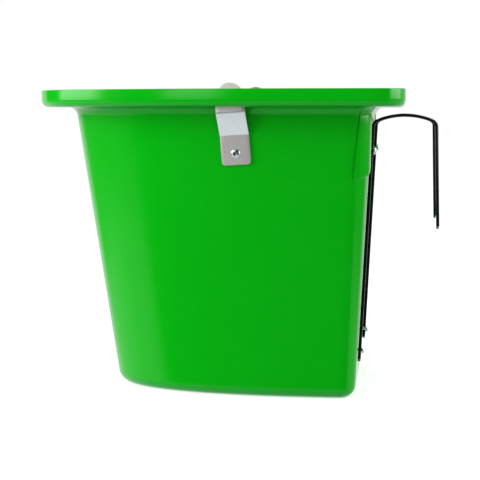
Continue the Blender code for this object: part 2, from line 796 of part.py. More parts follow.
# ------------------------------------------------------------ screw sets
# pan heads beside each wire, overlapping it and pressing it to the wall
for level, z in (("upper", UPPER_SCREW_Z), ("lower", LOWER_SCREW_Z)):
    for side, word in ((-1, "left"), (1, "right")):
        m = back_frame(z, side * SCREW_Y)
        top = HEAD_IN
        tag = word + "_" + level
        hr = SCREW_HEAD_D / 2
        turned(tag + "_screw",
               [(0.0, top + SCREW_HEAD_H), (hr * 0.5, top + SCREW_HEAD_H * 0.93),
                (hr * 0.85, top + SCREW_HEAD_H * 0.68), (hr, top + SCREW_HEAD_H * 0.3),
                (hr, top), (SCREW_D / 2, top), (SCREW_D / 2, SCREW_END + 0.5),
                (SCREW_D / 2 - 0.5, SCREW_END), (0.0, SCREW_END)],
               m, material("zinc_screw_" + tag, (0.6, 0.6, 0.6), 0.35, 1.0), 20)
        turned(tag + "_inner_washer",
               washer_profile(WASHER_D / 2, SCREW_HOLE_D / 2, -WALL_T - GAP,
                              -WALL_T - GAP - WASHER_T),
               m, material("zinc_washer_" + tag, (0.6, 0.6, 0.6), 0.38, 1.0), 20)
        z1 = -WALL_T - 2 * GAP - WASHER_T
        bmn = bmesh.new()
        bmesh.ops.create_cone(bmn, cap_ends=True, cap_tris=False, segments=6,
                              radius1=NUT_AF / math.sqrt(3) * MM,
                              radius2=NUT_AF / math.sqrt(3) * MM, depth=NUT_H * MM)
        bmesh.ops.translate(bmn, vec=Vector((0, 0, (z1 - NUT_H / 2) * MM)), verts=bmn.verts)
        men = bpy.data.meshes.new(tag + "_nut")
        bmn.to_mesh(men)
        bmn.free()
        men.materials.append(material("zinc_nut_" + tag, (0.6, 0.6, 0.6), 0.38, 1.0))
        nut = bpy.data.objects.new(tag + "_nut", men)
        main.objects.link(nut)
        nut.matrix_world = m
        cv, cf = cyl_data(m, SCREW_HOLE_D / 2, z1 - NUT_H - 2, z1 + 2, 16)
        boolean(nut, make("cut_" + tag + "_nut", cv, cf, helper=True), 'DIFFERENCE')
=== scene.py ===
import bpy
import bmesh
import math
from mathutils import Vector, Matrix


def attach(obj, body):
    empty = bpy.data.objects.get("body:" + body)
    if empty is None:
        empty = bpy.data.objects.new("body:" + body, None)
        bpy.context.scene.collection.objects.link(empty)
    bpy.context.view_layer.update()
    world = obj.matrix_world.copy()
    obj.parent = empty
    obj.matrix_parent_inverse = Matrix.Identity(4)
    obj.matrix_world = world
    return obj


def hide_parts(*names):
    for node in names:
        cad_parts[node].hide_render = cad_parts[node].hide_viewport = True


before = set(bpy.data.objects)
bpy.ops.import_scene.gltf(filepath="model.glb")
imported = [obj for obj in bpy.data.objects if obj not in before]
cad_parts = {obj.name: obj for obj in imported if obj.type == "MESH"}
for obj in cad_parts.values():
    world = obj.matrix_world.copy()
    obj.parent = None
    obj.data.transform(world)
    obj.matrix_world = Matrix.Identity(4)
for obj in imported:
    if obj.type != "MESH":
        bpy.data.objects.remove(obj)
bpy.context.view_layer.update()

MM = 0.001

# ------------------------------------------------------------------ helpers
def smooth(me, deg=30.0):
    me.shade_smooth()
    me.set_sharp_from_angle(angle=math.radians(deg))


def add(name, verts, faces, mat, body, replaces=(), deg=30.0, recalc=False):
    me = bpy.data.meshes.new(name)
    me.from_pydata([tuple(v) for v in verts], [], faces)
    me.validate()
    me.update()
    if recalc:
        bm = bmesh.new()
        bm.from_mesh(me)
        bmesh.ops.recalc_face_normals(bm, faces=bm.faces)
        bm.to_mesh(me)
        bm.free()
    smooth(me, deg)
    me.materials.append(mat)
    ob = bpy.data.objects.new(name, me)
    bpy.context.scene.collection.objects.link(ob)
    done(ob, body, replaces)
    return ob


def done(ob, body, replaces=()):
    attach(ob, body)
    if replaces:
        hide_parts(*replaces)


def bake(ob, deg=30.0):
    """applies the modifiers, so the mesh carries its final shape"""
    dg = bpy.context.evaluated_depsgraph_get()
    dg.update()
    me = bpy.data.meshes.new_from_object(ob.evaluated_get(dg), depsgraph=dg)
    ob.modifiers.clear()
    old = ob.data
    ob.data = me
    bpy.data.meshes.remove(old)
    smooth(me, deg)


def cut_with(ob, data, op='DIFFERENCE', mat=None):
    """one exact boolean with throwaway operand data (verts, faces)"""
    me = bpy.data.meshes.new("operand")
    me.from_pydata([tuple(v) for v in data[0]], [], data[1])
    me.validate()
    bm = bmesh.new()
    bm.from_mesh(me)
    bmesh.ops.recalc_face_normals(bm, faces=bm.faces)
    bm.to_mesh(me)
    bm.free()
    if mat:
        me.materials.append(mat)
    tool = bpy.data.objects.new("operand", me)
    bpy.context.scene.collection.objects.link(tool)
    m = ob.modifiers.new("b", 'BOOLEAN')
    m.operation = op
    m.solver = 'EXACT'
    m.object = tool
    bake(ob)
    bpy.data.objects.remove(tool, do_unlink=True)
    bpy.data.meshes.remove(me)


def bevel(ob, width, seg=2, deg=35.0):
    m = ob.modifiers.new("bevel", 'BEVEL')
    m.width = width * MM
    m.segments = seg
    m.limit_method = 'ANGLE'
    m.angle_limit = math.radians(deg)
    m.harden_normals = False
    bake(ob)


def frame_matrix(origin, xa, ya, za):
    m = Matrix.Identity(4)
    for i, a in enumerate((xa, ya, za)):
        m.col[i] = Vector((a[0], a[1], a[2], 0.0))
    m.col[3] = Vector((origin[0], origin[1], origin[2], 1.0))
    return m


def axis_frame(origin, axis):
    za = axis.normalized()
    ref = Vector((0, 0, 1)) if abs(za.z) < 0.9 else Vector((1, 0, 0))
    xa = ref.cross(za).normalized()
    return frame_matrix(origin, xa, za.cross(xa), za)


def cyl(m, r, z0, z1, seg=48, r1=None):
    r1 = r if r1 is None else r1
    vs, fs = [], []
    for z, q in ((z0, r), (z1, r1)):
        for k in range(seg):
            a = 2 * math.pi * k / seg
            vs.append(m @ Vector((q * math.cos(a) * MM, q * math.sin(a) * MM, z * MM)))
    fs.append(tuple(reversed(range(seg))))
    fs.append(tuple(range(seg, 2 * seg)))
    fs += [(k, (k + 1) % seg, seg + (k + 1) % seg, seg + k) for k in range(seg)]
    return vs, fs


def boxd(m, lo, hi):
    vs = []
    for z in (lo[2], hi[2]):
        for x, y in ((lo[0], lo[1]), (hi[0], lo[1]), (hi[0], hi[1]), (lo[0], hi[1])):
            vs.append(m @ Vector((x * MM, y * MM, z * MM)))
    return vs, [(3, 2, 1, 0), (4, 5, 6, 7), (0, 1, 5, 4), (1, 2, 6, 5), (2, 3, 7, 6), (3, 0, 4, 7)]


def join(parts):
    vs, fs = [], []
    for v, f in parts:
        o = len(vs)
        vs += list(v)
        fs += [tuple(i + o for i in q) for q in f]
    return vs, fs


def turn(profile, m, seg=64):
    """closed turned solid from (radius, height) points; first and last on
    the axis, or a closed ring profile when the first point is repeated"""
    closed = profile[0] == profile[-1]
    pts = profile[:-1] if closed else profile
    vs, fs, rows = [], [], []
    for r, z in pts:
        if r <= 1e-9:
            rows.append([len(vs)] * seg)
            vs.append(m @ Vector((0, 0, z * MM)))
        else:
            rows.append(list(range(len(vs), len(vs) + seg)))
            for k in range(seg):
                a = 2 * math.pi * k / seg
                vs.append(m @ Vector((r * math.cos(a) * MM, r * math.sin(a) * MM, z * MM)))
    count = len(rows) if closed else len(rows) - 1
    for i in range(count):
        a, b = rows[i], rows[(i + 1) % len(rows)]
        for k in range(seg):
            q = (a[k], b[k], b[(k + 1) % seg], a[(k + 1) % seg])
            u = []
            for j in q:
                if j not in u:
                    u.append(j)
            if len(u) > 2:
                fs.append(tuple(u))
    return vs, fs


# ------------------------------------------------------------------ materials
def new_mat(name):
    m = bpy.data.materials.new(name)
    m.use_nodes = True
    nt = m.node_tree
    return m, nt, nt.nodes["Principled BSDF"]


def node(nt, kind, **kw):
    n = nt.nodes.new(kind)
    for k, v in kw.items():
        setattr(n, k, v)
    return n


def coords(nt, scale=(1, 1, 1)):
    tc = node(nt, "ShaderNodeTexCoord")
    mp = node(nt, "ShaderNodeMapping")
    mp.inputs["Scale"].default_value = scale
    nt.links.new(tc.outputs["Object"], mp.inputs["Vector"])
    return mp.outputs["Vector"]


def noise(nt, vec, scale, detail=4.0, rough=0.5):
    n = node(nt, "ShaderNodeTexNoise")
    n.inputs["Scale"].default_value = scale
    n.inputs["Detail"].default_value = detail
    n.inputs["Roughness"].default_value = rough
    nt.links.new(vec, n.inputs["Vector"])
    return n.outputs["Fac"]


def ramp(nt, fac, stops):
    r = node(nt, "ShaderNodeValToRGB")
    el = r.color_ramp.elements
    while len(el) < len(stops):
        el.new(0.5)
    for e, (p, c) in zip(el, stops):
        e.position = p
        e.color = (c, c, c, 1) if isinstance(c, (int, float)) else (c[0], c[1], c[2], 1)
    nt.links.new(fac, r.inputs["Fac"])
    return r.outputs["Color"]


def mixc(nt, fac, a, b, mode='MIX'):
    n = node(nt, "ShaderNodeMix", data_type='RGBA', blend_type=mode)
    for sock, v in ((n.inputs["Factor"], fac), (n.inputs["A"], a), (n.inputs["B"], b)):
        pass
    fa = [s for s in n.inputs if s.name == "Factor" and s.type == 'VALUE'][0]
    ca = [s for s in n.inputs if s.name == "A" and s.type == 'RGBA'][0]
    cb = [s for s in n.inputs if s.name == "B" and s.type == 'RGBA'][0]
    for sock, v in ((fa, fac), (ca, a), (cb, b)):
        if isinstance(v, bpy.types.NodeSocket):
            nt.links.new(v, sock)
        elif isinstance(v, (int, float)):
            sock.default_value = v
        else:
            sock.default_value = (v[0], v[1], v[2], 1.0)
    return [s for s in n.outputs if s.type == 'RGBA'][0]


def bump(nt, bsdf, height, strength, dist, normal=None):
    b = node(nt, "ShaderNodeBump")
    b.inputs["Strength"].default_value = strength
    b.inputs["Distance"].default_value = dist
    nt.links.new(height, b.inputs["Height"])
    if normal is not None:
        nt.links.new(normal, b.inputs["Normal"])
    if bsdf is not None:
        nt.links.new(b.outputs["Normal"], bsdf.inputs["Normal"])
    return b.outputs["Normal"]


def mat_green():
    m, nt, p = new_mat("green_polyethylene")
    v = coords(nt)
    big = noise(nt, v, 9.0, 3.0, 0.5)
    mid = noise(nt, v, 60.0, 4.0, 0.55)
    fine = noise(nt, v, 900.0, 3.0, 0.6)
    base = mixc(nt, ramp(nt, big, [(0.35, 0.0), (0.65, 1.0)]), GREEN_A, GREEN_B)
    speck = ramp(nt, mid, [(0.3, 0.0), (0.75, 1.0)])
    col = mixc(nt, mixc(nt, speck, (0, 0, 0), (0.16, 0.16, 0.16)), base, GREEN_C)
    nt.links.new(col, p.inputs["Base Color"])
    rr = ramp(nt, mid, [(0.25, 0.12), (0.75, 0.17)])
    nt.links.new(rr, p.inputs["Roughness"])
    p.inputs["Specular IOR Level"].default_value = 0.28
    p.inputs["Subsurface Weight"].default_value = 0.0
    n1 = bump(nt, None, big, 0.10, 0.0010)
    n2 = bump(nt, None, mid, 0.04, 0.0002, n1)
    bump(nt, p, fine, 0.03, 0.00004, n2)
    return m


def mat_brushed(name, base, axis_scale, rough=(0.24, 0.42), strength=0.25):
    """brushed sheet: streaks drawn out along the strap"""
    m, nt, p = new_mat(name)
    v = coords(nt, axis_scale)
    streak = noise(nt, v, 1.0, 5.0, 0.65)
    v2 = coords(nt)
    cloud = noise(nt, v2, 55.0, 3.0, 0.5)
    dark = tuple(c * 0.82 for c in base)
    c1 = mixc(nt, ramp(nt, streak, [(0.3, 0.0), (0.7, 1.0)]), dark, base)
    c2 = mixc(nt, ramp(nt, cloud, [(0.35, 0.25), (0.7, 0.0)]), c1, tuple(c * 0.7 for c in base))
    nt.links.new(c2, p.inputs["Base Color"])
    p.inputs["Metallic"].default_value = 0.8
    rr = ramp(nt, streak, [(0.25, rough[0]), (0.75, rough[1])])
    nt.links.new(rr, p.inputs["Roughness"])
    bump(nt, p, streak, strength, 0.00004)
    return m


def mat_metal(name, base, rough=0.3, spread=0.1, metallic=1.0):
    m, nt, p = new_mat(name)
    v = coords(nt)
    a = noise(nt, v, 260.0, 4.0, 0.55)
    b = noise(nt, v, 1400.0, 2.0, 0.5)
    c1 = mixc(nt, ramp(nt, a, [(0.3, 0.0), (0.7, 1.0)]), tuple(c * 0.8 for c in base), base)
    nt.links.new(c1, p.inputs["Base Color"])
    p.inputs["Metallic"].default_value = metallic
    nt.links.new(ramp(nt, a, [(0.3, rough - spread / 2), (0.7, rough + spread / 2)]), p.inputs["Roughness"])
    bump(nt, p, b, 0.12, 0.00003)
    return m


def mat_black(name, base=0.012, rough=0.16):
    m, nt, p = new_mat(name)
    v = coords(nt)
    a = noise(nt, v, 380.0, 3.0, 0.5)
    c1 = mixc(nt, ramp(nt, a, [(0.35, 0.0), (0.7, 1.0)]), (base, base, base * 1.05), (base * 1.8, base * 1.8, base * 1.9))
    p.inputs["Specular IOR Level"].default_value = 0.28
    nt.links.new(c1, p.inputs["Base Color"])
    nt.links.new(ramp(nt, a, [(0.3, rough), (0.75, rough + 0.07)]), p.inputs["Roughness"])
    bump(nt, p, a, 0.05, 0.00005)
    return m


def mat_grip():
    m, nt, p = new_mat("black_grip_plastic")
    v = coords(nt)
    a = noise(nt, v, 1500.0, 2.0, 0.6)
    b = noise(nt, v, 120.0, 3.0, 0.5)
    c1 = mixc(nt, ramp(nt, b, [(0.3, 0.0), (0.7, 1.0)]), (0.012, 0.012, 0.013), (0.022, 0.022, 0.023))
    nt.links.new(c1, p.inputs["Base Color"])
    nt.links.new(ramp(nt, b, [(0.3, 0.42), (0.7, 0.55)]), p.inputs["Roughness"])
    bump(nt, p, a, 0.25, 0.00006)
    return m


GREEN_A = (0.0002, 0.294, 0.0022)
GREEN_B = (0.0003, 0.301, 0.0028)
GREEN_C = (0.0004, 0.308, 0.0034)
M_GREEN = mat_green()
M_STRAP = mat_brushed("brushed_stainless", (0.93, 0.89, 0.855), (1400, 1400, 38), (0.28, 0.40), 0.10)
M_RIVET = mat_metal("rivet_aluminium", (0.78, 0.79, 0.80), 0.26, 0.1)
M_PIN = mat_metal("rivet_pin_steel", (0.30, 0.30, 0.31), 0.35, 0.1)
M_WIRE = mat_metal("bright_drawn_wire", (0.66, 0.66, 0.67), 0.24, 0.12)
M_ZINC = mat_metal("zinc_plate", (0.66, 0.66, 0.66), 0.32, 0.14)
M_BLACK = mat_black("black_coated_wire", 0.003, 0.07)
M_CUT = mat_metal("bare_cut_steel", (0.42, 0.42, 0.43), 0.42, 0.1)
M_GRIP = mat_grip()

# ------------------------------------------------------------------ shape
BOWL_FRONT_X0, BOWL_FRONT_LEAN = -111.2, -0.158
BOWL_BACK_X0, BOWL_BACK_LEAN = 113.4, 0.0532
BOWL_HALF_W0, BOWL_HALF_W_LEAN = 98.0, 19.0 / 257.5
BACK_CORNER_R0, BACK_CORNER_GROW = 15.0, 5.0 / 257.5
N_PLAN = 2.3
BASE_R = 10.5
WALL_T = 2.8
UNDER_Z = 257.5
FILLET_R = 9.0
LIP_TOP = 273.0
LIP_R = 6.5
LIP = (-184.0, 156.4, 147.0, 26.0)
PAD_Y = 88.0


def wall_params(z):
    return (BOWL_FRONT_X0 + BOWL_FRONT_LEAN * z, BOWL_BACK_X0 + BOWL_BACK_LEAN * z,
            BOWL_HALF_W0 + BOWL_HALF_W_LEAN * z, BACK_CORNER_R0 + BACK_CORNER_GROW * z)


def grow(p, d):
    return (p[0] - d, p[1] + d, p[2] + d, p[3] + d)


def lip_params(d):
    return (LIP[0] - d, LIP[1] + d, LIP[2] + d, LIP[3] + d)


def plan_t(count):
    xf, xb, hw, rc = wall_params(130.0)
    xm = xb - rc
    a = xm - xf
    e = 2.0 / N_PLAN
    fine = [i / 6000.0 * math.pi / 2 for i in range(6001)]
    pts = [(xm - a * max(0.0, math.cos(t)) ** e, hw * math.sin(t) ** e) for t in fine]
    s = [0.0]
    for i in range(1, len(pts)):
        s.append(s[-1] + math.dist(pts[i], pts[i - 1]))
    out, j = [], 0
    for k in range(count + 1):
        want = s[-1] * k / count
        while j < len(s) - 1 and s[j] < want:
            j += 1
        out.append(fine[j])
    out[0], out[-1] = 0.0, math.pi / 2
    return out


# columns: superellipse, corner angles (dense at the pad's crease), then the
# back flat (dense at the pad's inner edge)
TS = plan_t(72)
CORNER = [6, 12, 17, 20, 21.4, 22.0, 22.8, 24.5, 27, 31, 36, 42, 48, 54, 60, 66, 72, 78, 84, 90]
FLAT_EDGE = [2.2, 1.2, 0.5, 0.15, -0.15, -0.6, -2.0]      # around the pad's inner edge
FLAT_REST = [0.92, 0.82, 0.7, 0.56, 0.42, 0.28, 0.14, 0.0]


def half_columns(p, turn_deg=0.0):
    """(x, y, tag) down one half; tag says where on the outline the column is;
    turn_deg moves the pad's crease (22 degrees) round the corner"""
    xf, xb, hw, rc = p
    xm = xb - rc
    a = xm - xf
    e = 2.0 / N_PLAN
    out = []
    for t in TS:
        c = max(0.0, math.cos(t)) if t < math.pi / 2 - 1e-9 else 0.0
        out.append((xm - a * c ** e, hw * math.sin(t) ** e, ("s", t)))
    for d in CORNER:
        real = d * (22.0 + turn_deg) / 22.0 if d <= 22.0 else 22.0 + turn_deg + (d - 22.0) * (68.0 - turn_deg) / 68.0
        f = math.radians(real)
        out.append((xm + rc * math.sin(f), hw - rc + rc * math.cos(f), ("c", d)))
    y0 = hw - rc
    edge = min(PAD_Y, y0 - 3.0)
    for q in FLAT_EDGE:
        out.append((xb, edge + q, ("f", q)))
    last = edge + FLAT_EDGE[-1]
    for q in FLAT_REST:
        out.append((xb, last * q, ("f", -9.0)))
    return out


def crease_turn(z):
    return 12.0 * min(1.0, max(0.0, (z - 193.0) / 60.0))


def pad_offset(tag, z, z_low):
    """how far the raised corner pad stands off the wall; the wall dips a
    little on its way to the pad's crease"""
    kind, q = tag
    if kind == "s" or z > 256.0:
        return 0.0
    if kind == "c":
        if q < 21.9:
            g = min(1.0, max(0.0, (z - 190.5) / 9.0))
            return -1.3 * (q / 21.4) * g * g * (3 - 2 * g)
        f = (q - 22.0) / 68.0
        across = 0.16 + 0.84 * min(1.0, f / 0.7)
    else:
        if q < -0.2:
            return 0.0
        across = 1.0 if q > 0.3 else 0.86
    k = (min(max(z, 193.0), 252.0) - 193.0) / 59.0
    proud = 2.5 + (0.6 - 2.5) * k
    h = z - z_low
    if h <= 0.0:
        return 0.0
    r = 1.6
    if h < r:
        up = math.sqrt(max(0.0, 1 - (1 - h / r) ** 2))
    else:
        up = 1.0
    return proud * across * up


def pad_low(tag):
    kind, q = tag
    if kind == "c" and q >= 20:
        f = max(0.0, (q - 22.0) / 68.0)
        return 193.0 + 4.5 * min(1.0, f / 0.7) + (4.5 * ((f - 0.7) / 0.3) ** 2 if f > 0.7 else 0.0)
    if kind == "f":
        return 202.0
    return 193.0


def outline(p, z, pad=False, z_lift=None, raised=True):
    half = half_columns(p, crease_turn(z) if pad else 0.0)
    pts = []
    for x, y, tag in half:
        zz = z
        px, py = x, y
        if z_lift is not None:
            low = pad_low(tag)
            zz = z_lift(low)
            # slide along the ruled wall to the new height
            q = half_columns(wall_params(zz), crease_turn(zz))[len(pts)]
            px, py = q[0], q[1]
        if pad and raised:
            d = pad_offset(tag, zz, pad_low(tag))
            if d:
                kind, a = tag
                if kind == "c":
                    t = crease_turn(zz)
                    f = math.radians(a * (22.0 + t) / 22.0 if a <= 22.0 else 22.0 + t + (a - 22.0) * (68.0 - t) / 68.0)
                    px += d * math.sin(f)
                    py += d * math.cos(f)
                else:
                    px += d
        pts.append((px, py, zz))
    full = pts + [(x, -y, zz) for x, y, zz in reversed(pts[1:-1])]
    return [Vector((x * MM, y * MM, zz * MM)) for x, y, zz in full]


def shell_rings():
    rings = []
    nb, nf, nl = 10, 14, 14
    # outer skin
    for d in (-13.0, -11.6):
        rings.append(outline(grow(wall_params(0.0), d), 0.0))
    for k in range(nb + 1):
        f = k / nb * math.pi / 2
        z = BASE_R * (1 - math.cos(f))
        rings.append(outline(grow(wall_params(z), -BASE_R * (1 - math.sin(f))), z))
    for z in (20, 32, 48, 66, 86, 108, 130, 150, 168, 182):
        rings.append(outline(wall_params(float(z)), float(z)))
    for dz in (-4.0, -1.0, 0.0, 0.12, 0.35, 0.7, 1.1, 1.6, 2.2, 4.0):
        rings.append(outline(wall_params(193.0), 193.0, True, lambda low, dz=dz: low + dz))
    for z in (212, 222, 232, 240):
        rings.append(outline(wall_params(float(z)), float(z), True))
    zf = UNDER_Z - FILLET_R
    base = wall_params(zf)
    for k in range(nf + 1):
        f = k / nf * math.pi / 2
        z = zf + FILLET_R * math.sin(f)
        d = FILLET_R * (1 - math.cos(f))
        ring = outline(grow(base, d), z, True, None, False)
        # the pad dies into the fillet
        t = crease_turn(z)
        half = half_columns(grow(base, d), t)
        n = len(half)
        for i, (x, y, tag) in enumerate(half):
            off = pad_offset(tag, min(z, 252.0), pad_low(tag))
            off = off * (1 - k / nf) if off < 0 else max(0.0, off - d)
            if off != 0.0:
                kind, a = tag
                a = a * (22.0 + t) / 22.0 if a <= 22.0 else 22.0 + t + (a - 22.0) * (68.0 - t) / 68.0
                s, c = (math.sin(math.radians(a)), math.cos(math.radians(a))) if kind == "c" else (1.0, 0.0)
                v = Vector((off * s * MM, off * c * MM, 0))
                ring[i] = ring[i] + v
                if 0 < i < n - 1:
                    j = len(ring) - i
                    ring[j] = ring[j] + Vector((v.x, -v.y, 0))
        rings.append(ring)
    for q in (0.35, 0.7):
        a, b = grow(base, FILLET_R), lip_params(-LIP_R)
        rings.append(outline(tuple(a[i] + (b[i] - a[i]) * q for i in range(4)), UNDER_Z))
    lip_h = LIP_R
    for k in range(nl + 1):
        f = k / nl * math.pi / 2
        rings.append(outline(lip_params(-LIP_R * (1 - math.sin(f))), UNDER_Z + lip_h * (1 - math.cos(f))))
    rings.append(outline(lip_params(0.0), 269.6))
    # lip edge, slightly eased
    e = 0.55
    for k in range(5):
        f = k / 4 * math.pi / 2
        rings.append(outline(lip_params(-e * (1 - math.cos(f))), LIP_TOP - e * (1 - math.sin(f))))
    for k in range(5):
        f = k / 4 * math.pi / 2
        rings.append(outline(lip_params(-WALL_T + e * (1 - math.sin(f))), LIP_TOP - e * (1 - math.cos(f))))
    # tray: inner lip face, inner corner, ledge top, fillet into the bowl
    r = LIP_R - WALL_T
    rings.append(outline(lip_params(-WALL_T), 267.0))
    top = UNDER_Z + WALL_T
    for k in range(6):
        f = k / 5 * math.pi / 2
        rings.append(outline(lip_params(-WALL_T - r * (1 - math.cos(f))), top + r * (1 - math.sin(f))))
    for q in (0.3, 0.65):
        a, b = lip_params(-LIP_R), grow(base, FILLET_R)
        rings.append(outline(tuple(a[i] + (b[i] - a[i]) * q for i in range(4)), top))
    R = FILLET_R + WALL_T
    for k in range(nf + 1):
        f = (1 - k / nf) * math.pi / 2
        rings.append(outline(grow(base, FILLET_R - R * math.cos(f)), zf + R * math.sin(f)))
    for z in (236, 222, 205, 185, 165, 145, 125, 105, 85, 65, 48, 32, 20):
        rings.append(outline(grow(wall_params(float(z)), -WALL_T), float(z)))
    ri = BASE_R - WALL_T
    for k in range(nb + 1):
        f = (1 - k / nb) * math.pi / 2
        z = BASE_R - ri * math.cos(f)
        rings.append(outline(grow(wall_params(z), -BASE_R + ri * math.sin(f)), z))
    for d in (-11.6, -13.0):
        rings.append(outline(grow(wall_params(WALL_T), d), WALL_T))
    return rings


def shell():
    rings = shell_rings()
    n = len(rings[0])
    vs = [v for r in rings for v in r]
    fs = []
    for i in range(len(rings) - 1):
        for j in range(n):
            a, b = i * n + j, i * n + (j + 1) % n
            fs.append((a, a + n, b + n, b))
    # flat floors under and inside close the innermost rings
    fs.append(tuple(range(n)))
    last = (len(rings) - 1) * n
    fs.append(tuple(reversed(range(last, last + n))))
    return vs, fs


def plan_y(p, x):
    xf, xb, hw, rc = p
    xm = xb - rc
    u = min(1.0, max(0.0, (xm - x) / (xm - xf)))
    return hw * (1 - u ** N_PLAN) ** (1 / N_PLAN)


# ------------------------------------------------------------------ ear frames
EAR_W, EAR_T, GAP = 26.0, 1.5, 0.3
EAR_X, EAR_RZ = 9.9, 217.3
PIVOT_Z = 266.6


def ear_frame(side):
    def pt(x, z):
        return Vector((x, side * plan_y(wall_params(z), x), z))
    h = 0.5
    p0 = pt(EAR_X, EAR_RZ)
    tx = (pt(EAR_X + h, EAR_RZ) - pt(EAR_X - h, EAR_RZ)).normalized()
    tz = pt(EAR_X, EAR_RZ + h) - pt(EAR_X, EAR_RZ - h)
    n = tx.cross(tz).normalized()
    if n.y * side < 0:
        n = -n
    v = (tz - tx * tz.dot(tx)).normalized()
    a = math.radians(3.5)
    return p0, (tx * math.cos(a) + v * math.sin(a)).normalized(), (v * math.cos(a) - tx * math.sin(a)).normalized(), n


def ear_profile():
    lean = math.atan(BOWL_HALF_W_LEAN)
    a2 = math.radians(26.0) - lean
    v1 = (233.3 - EAR_RZ) / math.cos(lean)
    l2 = (253.0 - 233.3) / math.cos(math.radians(26.0))
    l3 = 265.4 - 253.0
    p0 = (GAP, -10.2, 0.0)
    p1 = (GAP, v1, 0.0)
    p2 = (p1[0] + l2 * math.sin(a2), p1[1] + l2 * math.cos(a2), 0.0)
    d3 = (-math.sin(lean), math.cos(lean))
    p3 = (p2[0] + l3 * d3[0], p2[1] + l3 * d3[1], 0.0)
    return p0, p1, p2, p3, d3


def fillet(pts, radii, seg):
    out = [Vector(pts[0])]
    for i in range(1, len(pts) - 1):
        r = radii[i - 1]
        p, q, s = Vector(pts[i - 1]), Vector(pts[i]), Vector(pts[i + 1])
        d1 = (p - q).normalized()
        d2 = (s - q).normalized()
        ang = d1.angle(d2)
        off = r / math.tan(ang / 2)
        c = q + (d1 + d2).normalized() * (r / math.sin(ang / 2))
        a = q + d1 * off - c
        b = q + d2 * off - c
        w = a.angle(b)
        for k in range(seg + 1):
            f = k / seg
            out.append(c + (a * math.sin((1 - f) * w) + b * math.sin(f * w)) / math.sin(w))
    out.append(Vector(pts[-1]))
    return out


def ear_point(fr, w, n, v):
    p0, t, vv, nn = fr
    return (p0 + t * w + nn * n + vv * v) * MM


def ear_pivot(side):
    p0, t, vv, nn = ear_frame(side)
    _, _, p2, p3, d3 = ear_profile()
    n3 = nn * d3[1] - vv * d3[0]
    v3 = nn * d3[0] + vv * d3[1]
    base = p0 + nn * p3[0] + vv * p3[1]
    l = (PIVOT_Z - (base + n3 * (EAR_T / 2)).z) / v3.z
    return base + v3 * l + n3 * (EAR_T / 2), t, v3, n3


PIVOT_X = ear_pivot(-1)[0].x

# ------------------------------------------------------------------ bucket shell
vs, fs = shell()
body = add("bucket_shell", vs, fs, M_GREEN, "bucket", ("bucket_body",), 32.0)
slots = []
for s in (-1, 1):
    c, t3, v3, n3 = ear_pivot(s)
    b = c + v3 * ((258.9 - c.z) / v3.z)
    slots.append(boxd(frame_matrix(b * MM, t3, n3, v3), (-14, -1.5, -6), (14, 1.5, 6)))
cut_with(body, join(slots))

# ------------------------------------------------------------------ ears
def ear_mesh(side):
    fr = ear_frame(side)
    p0, p1, p2, p3, d3 = ear_profile()
    path = fillet([p0, p1, p2, p3], [3.0, 3.0], 10)
    hw = EAR_W / 2
    rows = path[1:-1]
    cols = [-hw + EAR_W * k / 8 for k in range(9)]
    vs, fs = [], []
    r = 3.0
    low_rows = []
    # lower facet: rows whose width follows the rounded corners
    for k in range(7):
        f = k / 6 * math.pi / 2
        low_rows.append((r * (1 - math.cos(f)), hw - r * (1 - math.sin(f))))
    low_rows = [(dv, wd) for dv, wd in low_rows]
    grid = []
    for dv, wd in low_rows:
        row = []
        for c in cols:
            row.append(len(vs))
            vs.append(ear_point(fr, c / hw * wd, p0[0], p0[1] + dv))
        grid.append(row)
    for q in (0.3, 0.55, 0.8):
        row = []
        for c in cols:
            row.append(len(vs))
            vs.append(ear_point(fr, c, p0[0], p0[1] + r + (rows[0][1] - p0[1] - r) * q))
        grid.append(row)
    for n, v, _ in rows:
        row = []
        for c in cols:
            row.append(len(vs))
            vs.append(ear_point(fr, c, n, v))
        grid.append(row)
    na = 16
    for k in range(0, na + 1):
        f = k / na * math.pi / 2
        l = hw * math.sin(f)
        wd = hw * math.cos(f)
        row = []
        for c in cols:
            row.append(len(vs))
            vs.append(ear_point(fr, c / hw * wd, p3[0] + l * d3[0], p3[1] + l * d3[1]))
        grid.append(row)
    for a, b in zip(grid[:-1], grid[1:]):
        for i in range(len(cols) - 1):
            fs.append((a[i], a[i + 1], b[i + 1], b[i]))
    if side > 0:
        fs = [tuple(reversed(f)) for f in fs]
    return vs, fs


